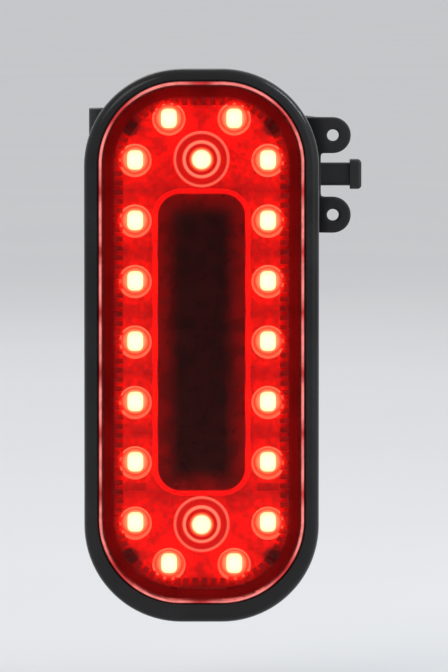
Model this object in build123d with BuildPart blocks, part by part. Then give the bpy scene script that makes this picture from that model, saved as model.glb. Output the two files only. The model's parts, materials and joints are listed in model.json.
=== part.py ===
from build123d import *
import os
from math import cos, radians, sin, sqrt, tan

os.makedirs("parts", exist_ok=True)

# Bicycle radar tail light on its seat post mount. Sizes are in millimetres.
# The seat post stands along Z through the origin, which is level with the middle of the strap.
# The light looks rearward, along -Y, and a depth is a distance behind the post's axis.

# Seat post and rubber pad
post_radius = 13.6
pad_wall = 3.0
pad_height = 30.0
pad_half_angle = 56.0
pad_clearance = 0.05
peg_radius = 2.0
peg_length = 1.5
peg_spacing = 16.0
peg_clearance = 0.1

# Bracket base
bracket_wall = 5.2
flange_width = 33.0
flange_height = 34.0
flange_corner = 6.0
flange_thickness = 3.0
saddle_width = 29.0
horn_half_angle = 50.0
wing_wall = 1.5
wing_lip = 1.2
wing_margin = 1.4

# Strap and the hook that holds it
strap_width = 21.2
strap_thickness = 2.4
strap_clearance = 0.15
hook_side_lean = 13.0
anchor_side_lean = 7.0
bend_inner_radius = 2.2
bead_radius = 2.2
bead_setback = 0.4
ear_radius = 3.3
ear_reach = 27.3
ear_hole_radius = 1.1
ear_setback = 2.4
fork_start = 21.8
window_height = 6.0
window_pitch = 8.0
window_count = 3
window_clearance = 0.3
hook_height = 4.2
hook_thickness = 3.0
hook_setback = 1.3
hook_head_height = 5.4
hook_head_thickness = 5.0
hook_head_width = 2.1
hook_reach = 29.3
hook_boss_height = 9.0
hook_head_round = 0.7

# Quarter-turn joint
plate_thickness = 5.4
plate_chamfer = 0.6
ledge_thickness = 1.8
hub_radius = 10.4
tab_radius = 12.7
tab_thickness = 1.8
tab_half_angle = 32.0
turn_clearance = 0.3
ledge_play = 0.2
gap_half_angle = 36.0
stop_half_angle = 11.5
mount_gap = 0.4
cleat_flange_radius = 12.5
cleat_flange_thickness = 1.5
cleat_clearance = 0.1
cleat_recess_radius = 3.4
cleat_recess_depth = 1.6
cleat_circle_radius = 6.5
cleat_screw_count = 3
cleat_boss_radius = 13.6
cleat_boss_thickness = 2.0
spring_length = 7.2
spring_width = 1.4
spring_thickness = 0.3
spring_play = 0.2
spring_wall_gap = 0.3

# Screws
screw_radius = 1.0
screw_clearance = 0.1
screw_head_radius = 1.9
screw_head_height = 1.2
screw_head_angle = 90.0
screw_drive_radius = 0.8
screw_drive_depth = 0.7
screw_drive_sides = 6
bracket_screw_x = 12.8
bracket_screw_z = 13.3
bracket_screw_length = 9.0
cleat_screw_length = 7.8
case_screw_side_gap = 8.4
case_screw_end_gap = 11.2
case_screw_sink = 2.6
case_screw_bite = 2.6
boss_radius = 2.6
boss_reach = 2.0
boss_clearance = 0.2
boss_floor = 0.3
shoulder_radius = 3.5

# Case: a rear housing and a front frame that meet at a seam
case_width = 42.4
case_height = 100.0
case_end_flat = 7.2
case_top = 20.0
case_wall = 2.0
case_draft = 4.5
back_round = 4.0
housing_length = 15.4
frame_length = 5.2
frame_round = 1.8
seam_chamfer = 0.3
gasket_width = 1.0
gasket_thickness = 0.8
gasket_inset = 0.5
gasket_clearance = 0.05
end_pad_wall = 4.4
end_pad_side_gap = 9.7
end_pad_length = 9.2

# Lens
lens_rise = 0.7
rim_side = 2.3
rim_end = 2.6
lens_clearance = 0.2
lens_wall = 1.6
lens_front_wall = 1.8
lens_proud = 2.0
lens_crown_radius = 120.0
lens_edge_round = 1.3
lens_seat_depth = 3.0
seal_thickness = 0.4
ledge_width = 2.4

# Lights and the plate round them
led_board_thickness = 1.2
led_board_clearance = 0.2
led_width = 2.8
led_length = 3.5
led_thickness = 1.0
led_corner = 0.9
led_round = 0.35
column_side_gap = 9.2
row_end_gap = 17.2
row_count = 7
end_pair_x = 5.9
end_pair_end_gap = 9.7
main_led_end_gap = 17.0
main_led_size = 3.4
main_led_thickness = 1.0
pocket_floor_radius = 2.3
pocket_mouth_radius = 3.0
reflector_thickness = 2.9
reflector_clearance = 0.3
reflector_lift = 0.1
reflector_bevel = 2.0
flute_pitch = 1.7
flute_radius = 0.5
dash_width = 4.0
dash_height = 1.5
dash_depth = 1.2
dash_row = 2.4
seat_radius = 5.1
collimator_clearance = 0.1
collimator_step_radius = 3.2
collimator_rim_height = 2.6
collimator_step_height = 0.5
collimator_dome_height = 0.5
collimator_hollow_radius = 2.8
collimator_hollow_height = 1.3

# Radar window, and the radar board behind it
panel_side_gap = 13.4
panel_end_gap = 23.3
panel_corner = 4.0
panel_thickness = 1.2
panel_clearance = 0.2
panel_shelf = 0.6
panel_sink = 0.7
lip_width = 0.8
lip_height = 0.7
radar_board_clearance = 0.2
radar_board_thickness = 0.8
radar_board_gap = 0.8
patch_size = 3.2
patch_thickness = 0.1
patch_pitch = 6.2
patch_columns = 2
patch_rows = 6

# Boards and battery
main_board_thickness = 1.0
main_board_side_gap = 3.0
main_board_end_gap = 6.5
main_board_corner = 12.0
board_gap = 2.0
board_post_radius = 1.6
board_post_side_gap = 7.2
board_post_z = 14.0
header_side_gap = 15.2
header_height = 2.4
header_end_gap = 24.0
shield_size = 14.0
shield_thickness = 1.4
shield_end_gap = 28.0
shield_wall = 0.3
chip_size = 7.0
small_chip_size = 4.0
chip_thickness = 0.9
coil_thickness = 1.6
battery_side_gap = 6.2
battery_end_gap = 16.0
battery_boss_gap = 2.4
battery_thickness = 7.0
battery_round = 1.0
foam_thickness = 0.8
tray_thickness = 1.0
tray_leg = 1.2
tray_gap = 0.3
tray_play = 0.1
tray_width = 16.0
lead_radius = 0.55
lead_spacing = 2.0
lead_side_gap = 4.5
lead_bend = 1.2
lead_run = 2.0
lead_depth_in_cell = 5.4
connector_width = 6.0
connector_height = 4.0
connector_thickness = 3.0
vent_radius = 3.0
vent_thickness = 0.35
vent_hole_radius = 0.8
vent_clearance = 0.1
vent_end_gap = 30.0

# Power button on the upper end
button_side_gap = 15.2
button_height = 5.2
button_clearance = 0.2
button_travel = 0.6
button_flange = 0.8
button_flange_thickness = 0.8
button_stem_radius = 1.3
button_stem_length = 0.6
button_rest_gap = 0.05
switch_width = 6.0
switch_height = 3.5
switch_thickness = 3.5
switch_drop = 0.4
plunger_width = 2.4
plunger_thickness = 1.6
plunger_clearance = 0.1
plunger_depth = 1.4
seal_ring_width = 0.7
seal_ring_thickness = 0.6
seal_ring_gap = 0.15
pipe_side_gap = 12.1
pipe_radius = 0.9
pipe_clearance = 0.05
pipe_collar = 0.4
pipe_collar_thickness = 0.6
status_led_width = 1.6
status_led_size = 0.9
status_led_drop = 0.7
status_led_gap = 0.3

# Charging socket on the lower end, and its rubber cover
usb_width = 8.94
usb_height = 3.26
usb_length = 7.35
usb_wall = 0.32
usb_clearance = 0.1
usb_sink = 0.05
tongue_width = 6.7
tongue_thickness = 0.7
tongue_setback = 1.2
cover_recess = 2.1
cover_width = 12.4
cover_length = 6.6
cover_clearance = 0.2
cover_floor_gap = 0.05
cover_corner = 1.2
cover_plug_inset = 0.32
cover_plug_height = 0.9
cover_notch = 1.4
cover_notch_length = 4.0
anchor_width = 2.9
anchor_gap = 0.1
anchor_peg_radius = 1.0
anchor_peg_length = 1.6
anchor_peg_clearance = 0.05

# Depths behind the post's axis, from the bicycle rearward
saddle_radius = post_radius + pad_wall
bracket_back = saddle_radius + bracket_wall
plate_back = bracket_back + plate_thickness
ledge_front = plate_back - ledge_thickness
tab_back = ledge_front - ledge_play
tab_front = tab_back - tab_thickness
case_front = plate_back + mount_gap
floor_depth = case_front + case_wall
seam_depth = case_front + housing_length
frame_back = seam_depth + frame_length
seat_depth = frame_back - lens_seat_depth
lens_foot = seat_depth + seal_thickness
lens_crown = frame_back + lens_proud
ledge_bottom = seam_depth - boss_reach
boss_back = ledge_bottom + case_screw_bite + screw_clearance + boss_floor
led_board_back = seam_depth + led_board_thickness / 2
led_board_front = led_board_back - led_board_thickness
main_board_back = led_board_front - board_gap
main_board_front = main_board_back - main_board_thickness
reflector_front = led_board_back + reflector_lift
reflector_back = reflector_front + reflector_thickness
panel_front = reflector_back - panel_sink
radar_board_front = led_board_back + radar_board_gap
radar_board_back = radar_board_front + radar_board_thickness
battery_front = floor_depth + foam_thickness
battery_back = battery_front + battery_thickness
tray_front = battery_back + tray_play
cleat_floor = case_front + cleat_flange_thickness
switch_depth = main_board_front - switch_thickness / 2
usb_depth = main_board_front - usb_height / 2

# Heights
case_z = case_top - case_height / 2
lens_z = case_z + lens_rise
end_pad_face = case_height / 2 - end_pad_wall
board_end = case_height / 2 - main_board_end_gap
battery_top = -cleat_boss_radius - battery_boss_gap
battery_bottom = case_z - case_height / 2 + battery_end_gap
cover_floor = case_height / 2 - cover_recess
case_screw_z = case_height / 2 - case_screw_end_gap
end_pair_z = case_height / 2 - end_pair_end_gap
main_led_z = case_height / 2 - main_led_end_gap
row_pitch = (case_height - 2 * row_end_gap) / (row_count - 1)
dash_z = -dash_row * row_pitch
header_z = header_end_gap - case_height / 2
shield_z = case_height / 2 - shield_end_gap
vent_z = case_z - case_height / 2 + vent_end_gap

# Widths and places across
case_corner = (case_width - case_end_flat) / 2
case_screw_x = case_width / 2 - case_screw_side_gap
column_x = case_width / 2 - column_side_gap
board_post_x = case_width / 2 - board_post_side_gap
battery_width = case_width - 2 * battery_side_gap
end_pad_width = case_width - 2 * end_pad_side_gap
header_width = case_width - 2 * header_side_gap
button_width = case_width - 2 * button_side_gap
pipe_x = case_width / 2 - pipe_side_gap
lead_x = battery_width / 2 - lead_side_gap

# Outlines as width, height and corner radius
case_outline = (case_width, case_height, case_corner)
opening_outline = (case_width - 2 * rim_side, case_height - 2 * rim_end, case_corner - rim_side)
panel_outline = (case_width - 2 * panel_side_gap, case_height - 2 * panel_end_gap, panel_corner)
board_outline = (
    case_width - 2 * main_board_side_gap, case_height - 2 * main_board_end_gap, main_board_corner
)

# Places, across and up from the middle of the lens
case_screw_spots = [(x, z) for x in (-case_screw_x, case_screw_x) for z in (-case_screw_z, case_screw_z)]
row_heights = [(row - (row_count - 1) / 2) * row_pitch for row in range(row_count)]
column_spots = [(x, z) for x in (-column_x, column_x) for z in row_heights]
end_spots = [(x, z) for x in (-end_pair_x, end_pair_x) for z in (-end_pair_z, end_pair_z)]
ring_spots = column_spots + end_spots
bracket_screw_spots = [
    (x, z) for x in (-bracket_screw_x, bracket_screw_x) for z in (-bracket_screw_z, bracket_screw_z)
]
cover_left = -cover_width / 2
anchor_right = cover_left - anchor_gap
anchor_left = anchor_right - anchor_width
anchor_x = (anchor_left + anchor_right) / 2
below = (Align.CENTER, Align.CENTER, Align.MAX)
above = (Align.CENTER, Align.CENTER, Align.MIN)


def rear_plane(depth, height=0.0):
    """Plane that faces rearward, with X across and Z up."""
    return Plane(origin=(0, -depth, height), x_dir=(1, 0, 0), z_dir=(0, -1, 0))


def front_plane(depth, height=0.0):
    """Plane that faces the bicycle, with Z up."""
    return Plane(origin=(0, -depth, height), x_dir=(-1, 0, 0), z_dir=(0, 1, 0))


def section_plane(depth, height=0.0):
    """Level plane whose first direction is across and whose second is rearward."""
    return Plane(origin=(0, -depth, height), x_dir=(1, 0, 0), z_dir=(0, 0, -1))


def rounded(outline, inset=0.0, mode=Mode.ADD):
    """Draw a rounded rectangle, drawn in by an inset all round."""
    width, height, corner = outline
    RectangleRounded(width - 2 * inset, height - 2 * inset, corner - inset, mode=mode)


def drawn_in(depth):
    """How far the drafted side of the housing lies inside its outline at the seam."""
    return (seam_depth - depth) * tan(radians(case_draft))


def sector(radius, half_angle, middle, mode=Mode.ADD):
    """Draw a slice of a disc about a middle direction in degrees."""
    with BuildLine() as edge:
        arc = CenterArc((0, 0), radius, middle - half_angle, 2 * half_angle)
        Line((0, 0), arc @ 0)
        Line(arc @ 1, (0, 0))
    make_face(edge.edges(), mode=mode)


def countersunk_screw(length):
    """Make a screw below the plane, its head flush with the plane."""
    Cone(screw_radius, screw_head_radius, screw_head_radius - screw_radius, align=below)
    Cylinder(screw_radius, length, align=below)


def end_height(x, depth):
    """How far the housing's outer end stands from its middle, at a place across and a depth."""
    inset = drawn_in(depth)
    corner = case_corner - inset
    beyond = max(abs(x) - (case_width / 2 - case_corner), 0)
    return case_height / 2 - inset - corner + sqrt(corner**2 - beyond**2)


# Straight runs of the strap leave the post at a tangent, on a circle through its mid-thickness
strap_circle = post_radius + strap_thickness / 2
bend_radius = bend_inner_radius + strap_thickness / 2
ear_depth = plate_back - ear_setback - strap_thickness / 2
ear_z = strap_width / 2 - ear_radius
hook_lean = radians(hook_side_lean)
anchor_lean = radians(anchor_side_lean)
hook_back = bracket_back - hook_setback
hook_middle = hook_back - hook_thickness / 2
bead_depth = bracket_back - flange_thickness - bead_setback - bead_radius


def strap_x(depth, lean):
    """How far out the middle of a straight run lies at a depth."""
    return strap_circle / cos(lean) + depth * tan(lean)


bead_x = -strap_x(bead_depth, anchor_lean)
bend_depth = ear_depth - bend_radius * (1 - sin(hook_lean))
bend_x = strap_x(bend_depth, hook_lean)
hook_root = strap_x(hook_back - hook_head_thickness, hook_lean) - strap_thickness / 2 / cos(hook_lean)
wing_reach = -bead_x + bead_radius + strap_clearance + wing_wall
wing_front = bead_depth - bead_radius - wing_lip
wing_height = strap_width + 2 * wing_margin

# Directions in degrees, for slices and rings of holes
rear_direction = -90.0
up_direction = 90.0
tab_directions = (0, 180)
gap_directions = (90, 270)
stop_directions = (45, 225)

# Rubber pad between the post and the bracket, with two pegs that locate it
with BuildPart() as post_pad:
    with BuildSketch(Plane.XY.offset(-pad_height / 2)):
        sector(saddle_radius, pad_half_angle, rear_direction)
        Circle(post_radius, mode=Mode.SUBTRACT)
    extrude(amount=pad_height)
    with BuildSketch(rear_plane(saddle_radius - pad_wall / 2)):
        with GridLocations(0, peg_spacing, 1, 2):
            Circle(peg_radius)
    extrude(amount=pad_wall / 2 + peg_length)
post_pad.part.label = "post_pad"
export_step(post_pad.part, "parts/post_pad.step")

# Path of the strap in plan: from its bead, round the front of the post, to its two ears
with BuildLine(Plane.XY) as strap_path:
    bead_run = Line(
        (bead_x, -bead_depth),
        (-strap_circle * cos(anchor_lean), strap_circle * sin(anchor_lean)),
    )
    round_post = CenterArc(
        (0, 0), strap_circle, 180 - anchor_side_lean, anchor_side_lean + hook_side_lean - 180
    )
    hook_run = Line(round_post @ 1, (bend_x, -bend_depth))
    bend = JernArc(hook_run @ 1, hook_run % 1, bend_radius, 90 - hook_side_lean)
    Line(bend @ 1, (ear_reach, -ear_depth))

with BuildPart() as strap:
    with BuildSketch(Plane.XY.offset(-strap_width / 2)):
        trace(strap_path.edges(), line_width=strap_thickness)
        with Locations((bead_x, -bead_depth)):
            Circle(bead_radius)
    extrude(amount=strap_width)
    # Windows along the hook's side; the hook stands in the last of them
    with BuildSketch(Plane.YZ):
        for step in range(window_count):
            with Locations((-(hook_middle - step * window_pitch), 0)):
                Rectangle(hook_thickness + 2 * window_clearance, window_height)
    extrude(amount=ear_reach, mode=Mode.SUBTRACT)
    # The end forks into two ears, each with a hole
    with BuildSketch(rear_plane(bend_depth)):
        with Locations(((fork_start + ear_reach) / 2, 0)):
            Rectangle(ear_reach - fork_start, strap_width - 4 * ear_radius)
        with Locations((ear_reach - ear_radius / 2, 0)):
            Rectangle(ear_radius, strap_width)
        with Locations((ear_reach - ear_radius, -ear_z), (ear_reach - ear_radius, ear_z)):
            Circle(ear_radius, mode=Mode.SUBTRACT)
            Circle(ear_hole_radius)
    extrude(amount=plate_back - bend_depth, mode=Mode.SUBTRACT)
strap.part.label = "strap"
export_step(strap.part, "parts/strap.step")

# Bracket base: a saddle on the pad, a wing that holds the strap's bead, and the strap's hook
with BuildPart() as bracket_base:
    with BuildSketch(rear_plane(bracket_back - flange_thickness)):
        RectangleRounded(flange_width, flange_height, flange_corner)
    extrude(amount=flange_thickness)
    horn_depth = saddle_radius * cos(radians(horn_half_angle))
    with BuildSketch(Plane.XY.offset(-pad_height / 2)):
        with Locations((0, -(horn_depth + bracket_back) / 2)):
            Rectangle(saddle_width, bracket_back - horn_depth)
    extrude(amount=pad_height)
    with BuildSketch(Plane.XY.offset(-wing_height / 2)):
        with Locations((-(wing_reach + saddle_width / 2) / 2, -(wing_front + bracket_back) / 2)):
            Rectangle(wing_reach - saddle_width / 2, bracket_back - wing_front)
    extrude(amount=wing_height)
    fillet(bracket_base.faces().sort_by(Axis.X)[0].edges().filter_by(Axis.Z), radius=wing_wall)
    # Room for the bead and for the strap beside it
    with BuildSketch(Plane.XY.offset(-wing_height / 2)):
        trace(bead_run, line_width=strap_thickness + 2 * strap_clearance)
        with Locations((bead_x, -bead_depth)):
            Circle(bead_radius + strap_clearance)
    extrude(amount=wing_height, mode=Mode.SUBTRACT)
    # Saddle
    with BuildSketch(Plane.XY.offset(-flange_height / 2)):
        Circle(saddle_radius + pad_clearance)
    extrude(amount=flange_height, mode=Mode.SUBTRACT)
    with BuildSketch(rear_plane(0)):
        with GridLocations(0, peg_spacing, 1, 2):
            Circle(peg_radius + peg_clearance)
    extrude(amount=saddle_radius + peg_length + peg_clearance, mode=Mode.SUBTRACT)
    # Hook: a boss inside the strap, a stem through its window, and a flared head
    with BuildSketch(Plane.YZ.offset(saddle_width / 2)):
        with Locations((-(hook_back - hook_head_thickness + bracket_back) / 2, 0)):
            Rectangle(bracket_back - hook_back + hook_head_thickness, hook_boss_height)
    extrude(amount=hook_root - strap_clearance - saddle_width / 2)
    with BuildSketch(Plane.YZ.offset(saddle_width / 2)):
        with Locations((-hook_middle, 0)):
            RectangleRounded(hook_thickness, hook_height, hook_head_round)
    extrude(amount=hook_reach - saddle_width / 2)
    with BuildSketch(Plane.YZ.offset(hook_reach - hook_head_width)):
        with Locations((-hook_middle, 0)):
            RectangleRounded(hook_head_thickness, hook_head_height, hook_head_round)
    extrude(amount=hook_head_width)
    fillet(bracket_base.faces().sort_by(Axis.X)[-1].edges(), radius=hook_head_round)
    # Pilot holes for the four screws
    with BuildSketch(rear_plane(bracket_back)):
        with Locations(*bracket_screw_spots):
            Circle(screw_radius + screw_clearance)
    extrude(amount=plate_thickness - bracket_screw_length - screw_clearance, mode=Mode.SUBTRACT)
bracket_base.part.label = "bracket_base"
export_step(bracket_base.part, "parts/bracket_base.step")

# Locking plate: a socket for the light's cleat, with two gaps in its ledge and two stops
with BuildPart() as locking_plate:
    with BuildSketch(rear_plane(bracket_back)):
        RectangleRounded(flange_width, flange_height, flange_corner)
    extrude(amount=plate_thickness)
    chamfer(locking_plate.faces().sort_by(Axis.Y)[0].edges(), length=plate_chamfer)
    with BuildSketch(rear_plane(bracket_back)):
        Circle(tab_radius + turn_clearance)
        for middle in stop_directions:
            sector(tab_radius + turn_clearance, stop_half_angle, middle, mode=Mode.SUBTRACT)
        Circle(hub_radius + turn_clearance)
    extrude(amount=ledge_front - bracket_back, mode=Mode.SUBTRACT)
    with BuildSketch(rear_plane(ledge_front)):
        for middle in gap_directions:
            sector(tab_radius + turn_clearance, gap_half_angle, middle)
        Circle(hub_radius + turn_clearance)
    extrude(amount=ledge_thickness, mode=Mode.SUBTRACT)
    with Locations(rear_plane(plate_back)):
        with Locations(*bracket_screw_spots):
            CounterSinkHole(
                screw_radius + screw_clearance,
                screw_head_radius + screw_clearance,
                counter_sink_angle=screw_head_angle,
            )
locking_plate.part.label = "locking_plate"
export_step(locking_plate.part, "parts/locking_plate.step")

with BuildPart() as bracket_screws:
    with Locations(rear_plane(plate_back)):
        with Locations(*bracket_screw_spots):
            countersunk_screw(bracket_screw_length)
    with BuildSketch(rear_plane(plate_back)):
        with Locations(*bracket_screw_spots):
            RegularPolygon(screw_drive_radius, screw_drive_sides)
    extrude(amount=-screw_drive_depth, mode=Mode.SUBTRACT)
bracket_screws.part.label = "bracket_screws"
export_step(bracket_screws.part, "parts/bracket_screws.step")

# Two arched leaf springs on the bracket base, under the cleat's tabs
cavity_radius = tab_radius + turn_clearance
spring_reach = sqrt((cavity_radius - spring_wall_gap) ** 2 - (spring_length / 2) ** 2)
spring_foot = bracket_back + spring_thickness / 2
spring_crown = tab_front - spring_play - spring_thickness / 2
with BuildPart() as detent_springs:
    with BuildSketch(Plane.YZ.offset(spring_reach - spring_width)):
        with BuildLine():
            ThreePointArc(
                (-spring_foot, -spring_length / 2), (-spring_crown, 0), (-spring_foot, spring_length / 2)
            )
        trace(line_width=spring_thickness)
    extrude(amount=spring_width)
    mirror(about=Plane.YZ)
detent_springs.part.label = "detent_springs"
export_step(detent_springs.part, "parts/detent_springs.step")

# Cleat on the back of the light: two tabs that turn under the locking plate's ledge
with BuildPart() as mount_cleat:
    with BuildSketch(rear_plane(tab_front)):
        Circle(hub_radius)
        for middle in tab_directions:
            sector(tab_radius, tab_half_angle, middle)
    extrude(amount=tab_thickness)
    with BuildSketch(rear_plane(tab_front)):
        Circle(hub_radius)
    extrude(amount=case_front - tab_front)
    with BuildSketch(rear_plane(case_front)):
        Circle(cleat_flange_radius)
    extrude(amount=cleat_flange_thickness)
    with BuildSketch(rear_plane(tab_front)):
        Circle(cleat_recess_radius)
    extrude(amount=cleat_recess_depth, mode=Mode.SUBTRACT)
    with Locations(front_plane(tab_front)):
        with PolarLocations(cleat_circle_radius, cleat_screw_count, start_angle=up_direction):
            CounterSinkHole(
                screw_radius + screw_clearance,
                screw_head_radius + screw_clearance,
                counter_sink_angle=screw_head_angle,
            )
mount_cleat.part.label = "mount_cleat"
export_step(mount_cleat.part, "parts/mount_cleat.step")

with BuildPart() as cleat_screws:
    with Locations(front_plane(tab_front)):
        with PolarLocations(cleat_circle_radius, cleat_screw_count, start_angle=up_direction):
            countersunk_screw(cleat_screw_length)
    with BuildSketch(front_plane(tab_front)):
        with PolarLocations(cleat_circle_radius, cleat_screw_count, start_angle=up_direction):
            RegularPolygon(screw_drive_radius, screw_drive_sides)
    extrude(amount=-screw_drive_depth, mode=Mode.SUBTRACT)
cleat_screws.part.label = "cleat_screws"
export_step(cleat_screws.part, "parts/cleat_screws.step")

# Outer body of the rear housing, drafted towards the bicycle
with BuildPart() as case_body:
    with BuildSketch(rear_plane(case_front, case_z)):
        rounded(case_outline, drawn_in(case_front))
    with BuildSketch(rear_plane(seam_depth, case_z)):
        rounded(case_outline)
    loft()
    fillet(case_body.faces().sort_by(Axis.Y)[-1].edges(), radius=back_round)
    chamfer(case_body.faces().sort_by(Axis.Y)[0].edges(), length=seam_chamfer)

# Space inside the rear housing, less the boss, the screw tubes and the flat pad at each end
with BuildPart() as case_cavity:
    with BuildSketch(rear_plane(floor_depth, case_z)):
        rounded(case_outline, drawn_in(floor_depth) + case_wall)
    with BuildSketch(rear_plane(seam_depth, case_z)):
        rounded(case_outline, case_wall)
    loft()
    fillet(case_cavity.faces().sort_by(Axis.Y)[-1].edges(), radius=back_round - case_wall)
    with BuildSketch(rear_plane(floor_depth)):
        Circle(cleat_boss_radius)
    extrude(amount=cleat_boss_thickness, mode=Mode.SUBTRACT)
    with BuildSketch(rear_plane(floor_depth, lens_z)):
        with Locations(*case_screw_spots):
            Circle(shoulder_radius)
    extrude(amount=main_board_front - floor_depth, mode=Mode.SUBTRACT)
    with BuildSketch(rear_plane(main_board_front, lens_z)):
        with Locations(*case_screw_spots):
            Circle(boss_radius)
    extrude(amount=ledge_bottom - main_board_front, mode=Mode.SUBTRACT)
    with BuildSketch(Plane.XY.offset(case_z + end_pad_face)):
        with Locations((0, -switch_depth)):
            Rectangle(end_pad_width, end_pad_length)
    extrude(amount=end_pad_wall, mode=Mode.SUBTRACT)
    with BuildSketch(Plane.XY.offset(case_z - end_pad_face)):
        with Locations((0, -usb_depth)):
            Rectangle(end_pad_width, end_pad_length)
    extrude(amount=-end_pad_wall, mode=Mode.SUBTRACT)

with BuildPart() as rear_housing:
    add(case_body.part)
    add(case_cavity.part, mode=Mode.SUBTRACT)
    # Recess for the cleat, and pilot holes for its screws
    with BuildSketch(rear_plane(case_front)):
        Circle(cleat_flange_radius + cleat_clearance)
    extrude(amount=cleat_flange_thickness, mode=Mode.SUBTRACT)
    with BuildSketch(rear_plane(cleat_floor)):
        with PolarLocations(cleat_circle_radius, cleat_screw_count, start_angle=up_direction):
            Circle(screw_radius + screw_clearance)
    extrude(amount=floor_depth + cleat_boss_thickness - cleat_floor, mode=Mode.SUBTRACT)
    # Counterbored holes for the case screws
    with Locations(front_plane(case_front, lens_z)):
        with Locations(*case_screw_spots):
            CounterBoreHole(
                screw_radius + screw_clearance,
                screw_head_radius + screw_clearance,
                case_screw_sink + screw_head_height,
            )
    # Vent in the back
    with BuildSketch(rear_plane(case_front, vent_z)):
        Circle(vent_radius + vent_clearance)
    extrude(amount=vent_thickness, mode=Mode.SUBTRACT)
    with BuildSketch(rear_plane(case_front, vent_z)):
        Circle(vent_hole_radius)
    extrude(amount=case_wall, mode=Mode.SUBTRACT)
    # Groove for the gasket
    with BuildSketch(rear_plane(seam_depth, case_z)):
        rounded(case_outline, gasket_inset)
        rounded(case_outline, gasket_inset + gasket_width, mode=Mode.SUBTRACT)
    extrude(amount=-gasket_thickness, mode=Mode.SUBTRACT)
    # Slot for the button and hole for the light pipe, in the upper end
    with BuildSketch(Plane.XY.offset(case_z + end_pad_face)):
        with Locations((0, -switch_depth)):
            SlotOverall(button_width + 2 * button_clearance, button_height + 2 * button_clearance)
        with Locations((pipe_x, -switch_depth)):
            Circle(pipe_radius + pipe_clearance)
    extrude(amount=end_pad_wall, mode=Mode.SUBTRACT)
    # Recess for the cover, with a notch for a fingernail, and the socket's hole below it
    with BuildSketch(Plane.XY.offset(case_z - cover_floor)):
        with Locations(((anchor_left - cover_left) / 2, -usb_depth)):
            RectangleRounded(
                cover_width + cover_left - anchor_left + 2 * cover_clearance,
                cover_length + 2 * cover_clearance,
                cover_corner,
            )
        with Locations((cover_width / 2, -usb_depth)):
            RectangleRounded(2 * cover_notch, cover_notch_length, cover_corner)
    extrude(amount=-cover_recess, mode=Mode.SUBTRACT)
    with BuildSketch(Plane.XY.offset(case_z - end_pad_face)):
        with Locations((0, -usb_depth)):
            SlotOverall(usb_width + 2 * usb_clearance, usb_height + 2 * usb_clearance)
    extrude(amount=end_pad_face - cover_floor, mode=Mode.SUBTRACT)
    with BuildSketch(Plane.XY.offset(case_z - cover_floor)):
        with Locations((anchor_x, -usb_depth)):
            Circle(anchor_peg_radius + anchor_peg_clearance)
    extrude(amount=anchor_peg_length + anchor_peg_clearance, mode=Mode.SUBTRACT)
rear_housing.part.label = "rear_housing"
export_step(rear_housing.part, "parts/rear_housing.step")

with BuildPart() as case_gasket:
    with BuildSketch(rear_plane(seam_depth, case_z)):
        rounded(case_outline, gasket_inset + gasket_clearance)
        rounded(case_outline, gasket_inset + gasket_width - gasket_clearance, mode=Mode.SUBTRACT)
    extrude(amount=gasket_clearance - gasket_thickness)
case_gasket.part.label = "case_gasket"
export_step(case_gasket.part, "parts/case_gasket.step")

with BuildPart() as vent_membrane:
    with BuildSketch(rear_plane(case_front, vent_z)):
        Circle(vent_radius)
    extrude(amount=vent_thickness)
vent_membrane.part.label = "vent_membrane"
export_step(vent_membrane.part, "parts/vent_membrane.step")

# Front frame: the rim round the lens, its ledge, and four bosses for the case screws
with BuildPart() as front_frame:
    with BuildSketch(rear_plane(seam_depth, case_z)):
        rounded(case_outline)
    extrude(amount=frame_length)
    fillet(front_frame.faces().sort_by(Axis.Y)[0].edges(), radius=frame_round)
    chamfer(front_frame.faces().sort_by(Axis.Y)[-1].edges(), length=seam_chamfer)
    with BuildSketch(rear_plane(seat_depth, lens_z)):
        rounded(opening_outline)
    extrude(amount=lens_seat_depth, mode=Mode.SUBTRACT)
    with BuildSketch(rear_plane(seam_depth, lens_z)):
        rounded(opening_outline, ledge_width)
    extrude(amount=seat_depth - seam_depth, mode=Mode.SUBTRACT)
    with BuildSketch(rear_plane(ledge_bottom, lens_z)):
        with Locations(*case_screw_spots):
            Circle(boss_radius)
    extrude(amount=boss_back - ledge_bottom)
    with BuildSketch(rear_plane(ledge_bottom, lens_z)):
        with Locations(*case_screw_spots):
            Circle(screw_radius + screw_clearance)
    extrude(amount=case_screw_bite + screw_clearance, mode=Mode.SUBTRACT)
front_frame.part.label = "front_frame"
export_step(front_frame.part, "parts/front_frame.step")

case_screw_seat = case_front + case_screw_sink + screw_head_height
with BuildPart() as case_screws:
    with Locations(front_plane(case_screw_seat, lens_z)):
        with Locations(*case_screw_spots):
            Cylinder(screw_head_radius, screw_head_height, align=above)
            Cylinder(screw_radius, ledge_bottom + case_screw_bite - case_screw_seat, align=below)
    with BuildSketch(front_plane(case_screw_seat - screw_head_height, lens_z)):
        with Locations(*case_screw_spots):
            RegularPolygon(screw_drive_radius, screw_drive_sides)
    extrude(amount=-screw_drive_depth, mode=Mode.SUBTRACT)
case_screws.part.label = "case_screws"
export_step(case_screws.part, "parts/case_screws.step")

# Lens: a shallow cover whose front is crowned across its width
with BuildPart() as lens_hollow:
    with BuildSketch(rear_plane(lens_foot, lens_z)):
        rounded(opening_outline, lens_clearance + lens_wall)
    extrude(amount=lens_crown - lens_foot)
    with BuildSketch(Plane.XY.offset(lens_z - case_height / 2)):
        with Locations((0, lens_crown_radius - lens_crown)):
            Circle(lens_crown_radius - lens_front_wall)
    extrude(amount=case_height, mode=Mode.INTERSECT)

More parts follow.
